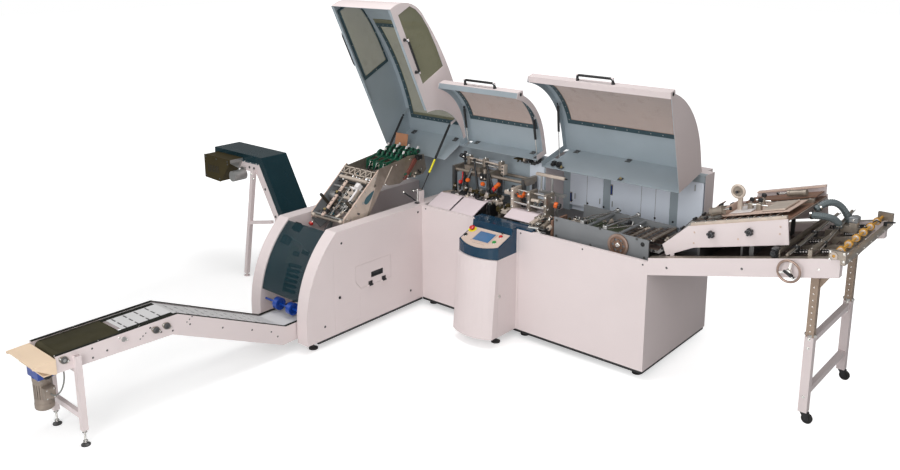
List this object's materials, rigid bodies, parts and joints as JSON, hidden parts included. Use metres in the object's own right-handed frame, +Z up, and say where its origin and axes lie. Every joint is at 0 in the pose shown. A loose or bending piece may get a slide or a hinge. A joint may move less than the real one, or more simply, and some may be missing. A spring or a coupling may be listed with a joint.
{
  "type": "perfect binding machine",
  "caption": "Floor-standing perfect binding line: casing with raised gull-wing covers, folding unit, operator console, infeed and waste conveyors and an inclined sheet feeder.",
  "frame": {"origin": "floor point under the levelling foot at the main unit's front right corner", "axes": "+X right along the front of the machine, +Y away from the operator, +Z up"},
  "size_m": [5.9075, 4.629, 2.7516],
  "materials": {
    "casing_white": "satin off-white paint",
    "frame_dark": "dark satin",
    "blue_grey": "blue-grey satin paint",
    "bed_steel": "brushed",
    "tinted_plastic": "tinted dark blue, glossy",
    "fascia_cream": "matt cream",
    "clear_pane": "clear polycarbonate",
    "belt_dark": "dark green-grey belt",
    "motor_blue": "blue-grey enamel",
    "cable_grey": "grey sheath",
    "hose_grey": "grey-blue ribbed hose",
    "strut_black": "black",
    "bright_steel": "bright",
    "wheel_blue": "royal blue",
    "roller_steel": "ground steel",
    "black_plastic": "black",
    "green_plastic": "dark green",
    "button_red": "glossy red",
    "button_green": "glossy green",
    "disc_brown": "brown laminate",
    "wheel_orange": "orange tyre",
    "castor_rubber": "black"
  },
  "bodies": {
    "main_unit": {"base_frame": "frame_dark", "front_panel": "casing_white", "end_panels": "casing_white", "rear_frame": "blue_grey", "machine_bed": "bed_steel", "near_wall": "casing_white", "far_wall": "casing_white", "throat_guard": "tinted_plastic", "binding_station": "frame_dark", "folder_frame": "bed_steel", "console_body": "casing_white", "console_head": "tinted_plastic", "control_fascia": "fascia_cream", "conveyor_frame": "casing_white", "conveyor_belt": "belt_dark", "gearmotor": "motor_blue", "motor_cable": "cable_grey", "waste_conveyor": "casing_white", "waste_cover": "tinted_plastic", "feeder_frame": "casing_white", "feeder_box": "casing_white", "feeder_deck": "bed_steel", "feeder_hoses": "hose_grey"},
    "right_cover": {"right_cover": "casing_white", "right_cover_pane": "clear_pane"},
    "middle_cover": {"middle_cover": "casing_white", "middle_cover_pane": "clear_pane"},
    "left_cover": {"left_cover": "casing_white", "left_cover_panes": "clear_pane"},
    "left_strut_tubes": {"left_strut_tubes": "strut_black"},
    "left_strut_rods": {"left_strut_rods": "bright_steel"},
    "middle_strut_tubes": {"middle_strut_tubes": "strut_black"},
    "middle_strut_rods": {"middle_strut_rods": "bright_steel"},
    "right_strut_tube": {"right_strut_tube": "strut_black"},
    "right_strut_rod": {"right_strut_rod": "bright_steel"},
    "hatch_door": {"hatch_door": "casing_white"},
    "panel_lock": {"panel_lock": "strut_black"},
    "throat_wheels": {"throat_wheels": "wheel_blue"},
    "fold_rollers": {"fold_rollers": "roller_steel"},
    "knob_shaft": {"knob_shaft": "black_plastic"},
    "green_wheels": {"green_wheels": "green_plastic"},
    "console_door": {"console_door": "casing_white"},
    "emergency_stop": {"emergency_stop": "button_red"},
    "green_button": {"green_button": "button_green"},
    "red_button": {"red_button": "button_red"},
    "black_button": {"black_button": "black_plastic"},
    "drive_roller": {"drive_roller": "roller_steel"},
    "idler_roller": {"idler_roller": "roller_steel"},
    "waste_drum": {"waste_drum": "roller_steel"},
    "handwheel": {"handwheel": "bright_steel"},
    "crank_handle": {"crank_handle": "black_plastic"},
    "disc_wheel": {"disc_wheel": "disc_brown"},
    "orange_wheels": {"orange_wheels": "wheel_orange"},
    "clamp_lever": {"clamp_lever": "black_plastic"},
    "left_star_knob": {"left_star_knob": "black_plastic"},
    "right_star_knob": {"right_star_knob": "black_plastic"},
    "front_castor_fork": {"front_castor_fork": "black_plastic"},
    "front_castor_wheel": {"front_castor_wheel": "castor_rubber"},
    "rear_castor_fork": {"rear_castor_fork": "black_plastic"},
    "rear_castor_wheel": {"rear_castor_wheel": "castor_rubber"}
  },
  "joints": [
    {"name": "right_cover_hinge", "type": "hinge", "parent": "main_unit", "child": "right_cover", "pos_m": [-1.195, 0.81, 1.44], "axis": [1, 0, 0], "range_deg": [0, 76]},
    {"name": "right_strut_swing", "type": "hinge", "parent": "main_unit", "child": "right_strut_rod", "pos_m": [-1.195, 0.653, 1.4], "axis": [1, 0, 0], "range_deg": [0, 93.03]},
    {"name": "right_strut_stroke", "type": "slide", "parent": "right_strut_rod", "child": "right_strut_tube", "axis": [0, -0.0854, 0.9963], "range_m": [-0.16086, 0]},
    {"name": "middle_cover_hinge", "type": "hinge", "parent": "main_unit", "child": "middle_cover", "pos_m": [-1.67, 0.525, 1.44], "axis": [1, 0, 0], "range_deg": [0, 76]},
    {"name": "middle_strut_swing", "type": "hinge", "parent": "main_unit", "child": "middle_strut_rods", "pos_m": [-1.67, 0.455, 1.405], "axis": [1, 0, 0], "range_deg": [0, 82.98]},
    {"name": "middle_strut_stroke", "type": "slide", "parent": "middle_strut_rods", "child": "middle_strut_tubes", "axis": [0, -0.188, 0.9822], "range_m": [-0.08697, 0]},
    {"name": "left_cover_hinge", "type": "hinge", "parent": "main_unit", "child": "left_cover", "pos_m": [-2.51, 0.525, 1.44], "axis": [1, 0, 0], "range_deg": [0, 64]},
    {"name": "left_strut_swing", "type": "hinge", "parent": "main_unit", "child": "left_strut_rods", "pos_m": [-2.51, -0.04, 1.05], "axis": [1, 0, 0], "range_deg": [-10.06, 0]},
    {"name": "left_strut_stroke", "type": "slide", "parent": "left_strut_rods", "child": "left_strut_tubes", "axis": [0, 0.5802, 0.8145], "range_m": [-0.23425, 0]},
    {"name": "hatch_hinge", "type": "hinge", "parent": "main_unit", "child": "hatch_door", "pos_m": [-2.144, -0.67, 0.389], "axis": [0, 1, 0], "range_deg": [0, 100]},
    {"name": "lock_turn", "type": "hinge", "parent": "main_unit", "child": "panel_lock", "pos_m": [-2.153, -1.103, 0.382], "axis": [1, 0, 0], "range_deg": [0, 90]},
    {"name": "throat_wheel_spin", "type": "hinge", "parent": "main_unit", "child": "throat_wheels", "pos_m": [-2.5135, -1.398, 0.31], "axis": [1, 0, 0], "continuous": true},
    {"name": "fold_roller_spin", "type": "hinge", "parent": "main_unit", "child": "fold_rollers", "pos_m": [-2.5135, -0.65849, 1.0607], "axis": [1, 0, 0], "continuous": true},
    {"name": "knob_shaft_turn", "type": "hinge", "parent": "main_unit", "child": "knob_shaft", "pos_m": [-2.5135, -0.72224, 0.9811], "axis": [1, 0, 0], "range_deg": [-40, 40]},
    {"name": "green_wheel_spin", "type": "hinge", "parent": "main_unit", "child": "green_wheels", "pos_m": [-2.5135, -0.206, 1.262], "axis": [1, 0, 0], "continuous": true},
    {"name": "console_door_hinge", "type": "hinge", "parent": "main_unit", "child": "console_door", "pos_m": [-1.517, -0.332, 0.4], "axis": [0, 0, -1], "range_deg": [0, 110]},
    {"name": "emergency_stop_press", "type": "slide", "parent": "main_unit", "child": "emergency_stop", "axis": [0, 0.3289, -0.9444], "range_m": [0, 0.006]},
    {"name": "green_button_press", "type": "slide", "parent": "main_unit", "child": "green_button", "axis": [0, 0.3289, -0.9444], "range_m": [0, 0.004], "stiffness_N_per_m": 800, "springref_m": -0.0015},
    {"name": "red_button_press", "type": "slide", "parent": "main_unit", "child": "red_button", "axis": [0, 0.3289, -0.9444], "range_m": [0, 0.004], "stiffness_N_per_m": 800, "springref_m": -0.0015},
    {"name": "black_button_press", "type": "slide", "parent": "main_unit", "child": "black_button", "axis": [0, 0.3289, -0.9444], "range_m": [0, 0.004], "stiffness_N_per_m": 800, "springref_m": -0.0015},
    {"name": "drive_roller_spin", "type": "hinge", "parent": "main_unit", "child": "drive_roller", "pos_m": [-2.465, -3.341, 0.6317], "axis": [1, 0, 0], "continuous": true},
    {"name": "idler_roller_spin", "type": "hinge", "parent": "main_unit", "child": "idler_roller", "pos_m": [-2.465, -2.933, 0.6317], "axis": [1, 0, 0], "continuous": true},
    {"name": "waste_drum_spin", "type": "hinge", "parent": "main_unit", "child": "waste_drum", "pos_m": [-4.365, -0.54, 1.135], "axis": [0, 1, 0], "continuous": true},
    {"name": "handwheel_turn", "type": "hinge", "parent": "main_unit", "child": "handwheel", "pos_m": [1.115, -0.13, 1.1463], "axis": [0, 1, 0], "continuous": true},
    {"name": "crank_fold", "type": "hinge", "parent": "handwheel", "child": "crank_handle", "pos_m": [1.149, -0.15, 1.1163], "axis": [0, 1, 0], "range_deg": [-60, 60]},
    {"name": "disc_wheel_spin", "type": "hinge", "parent": "main_unit", "child": "disc_wheel", "pos_m": [-0.222, 0.023, 0.981], "axis": [0, 1, 0], "continuous": true},
    {"name": "orange_wheel_spin", "type": "hinge", "parent": "main_unit", "child": "orange_wheels", "pos_m": [1.375, 0.41, 1.30622], "axis": [0, 1, 0], "continuous": true},
    {"name": "clamp_turn", "type": "hinge", "parent": "main_unit", "child": "clamp_lever", "pos_m": [1.43, 0.84, 1.28422], "axis": [0, 0, 1], "range_deg": [-60, 60]},
    {"name": "left_star_knob_turn", "type": "hinge", "parent": "main_unit", "child": "left_star_knob", "pos_m": [0.52, -0.01, 1.23593], "axis": [0, 1, 0], "continuous": true},
    {"name": "right_star_knob_turn", "type": "hinge", "parent": "main_unit", "child": "right_star_knob", "pos_m": [0.79, -0.01, 1.31234], "axis": [0, 1, 0], "continuous": true},
    {"name": "front_castor_swivel", "type": "hinge", "parent": "main_unit", "child": "front_castor_fork", "pos_m": [1.22, 0.107, 0.08], "axis": [0, 0, 1], "continuous": true},
    {"name": "front_castor_roll", "type": "hinge", "parent": "front_castor_fork", "child": "front_castor_wheel", "pos_m": [1.248, 0.107, 0.038], "axis": [0, 1, 0], "continuous": true},
    {"name": "rear_castor_swivel", "type": "hinge", "parent": "main_unit", "child": "rear_castor_fork", "pos_m": [1.22, 0.928, 0.08], "axis": [0, 0, 1], "continuous": true},
    {"name": "rear_castor_roll", "type": "hinge", "parent": "rear_castor_fork", "child": "rear_castor_wheel", "pos_m": [1.248, 0.928, 0.038], "axis": [0, 1, 0], "continuous": true}
  ],
  "couplings": [
    {"joint": "right_strut_swing", "follows": "right_cover_hinge", "ratio": 1.2241},
    {"joint": "right_strut_stroke", "follows": "right_cover_hinge", "m_per_rad": -0.12126},
    {"joint": "middle_strut_swing", "follows": "middle_cover_hinge", "ratio": 1.0918},
    {"joint": "middle_strut_stroke", "follows": "middle_cover_hinge", "m_per_rad": -0.065551},
    {"joint": "left_strut_swing", "follows": "left_cover_hinge", "ratio": -0.15715},
    {"joint": "left_strut_stroke", "follows": "left_cover_hinge", "m_per_rad": -0.20969},
    {"joint": "idler_roller_spin", "follows": "drive_roller_spin", "ratio": 1}
  ]
}
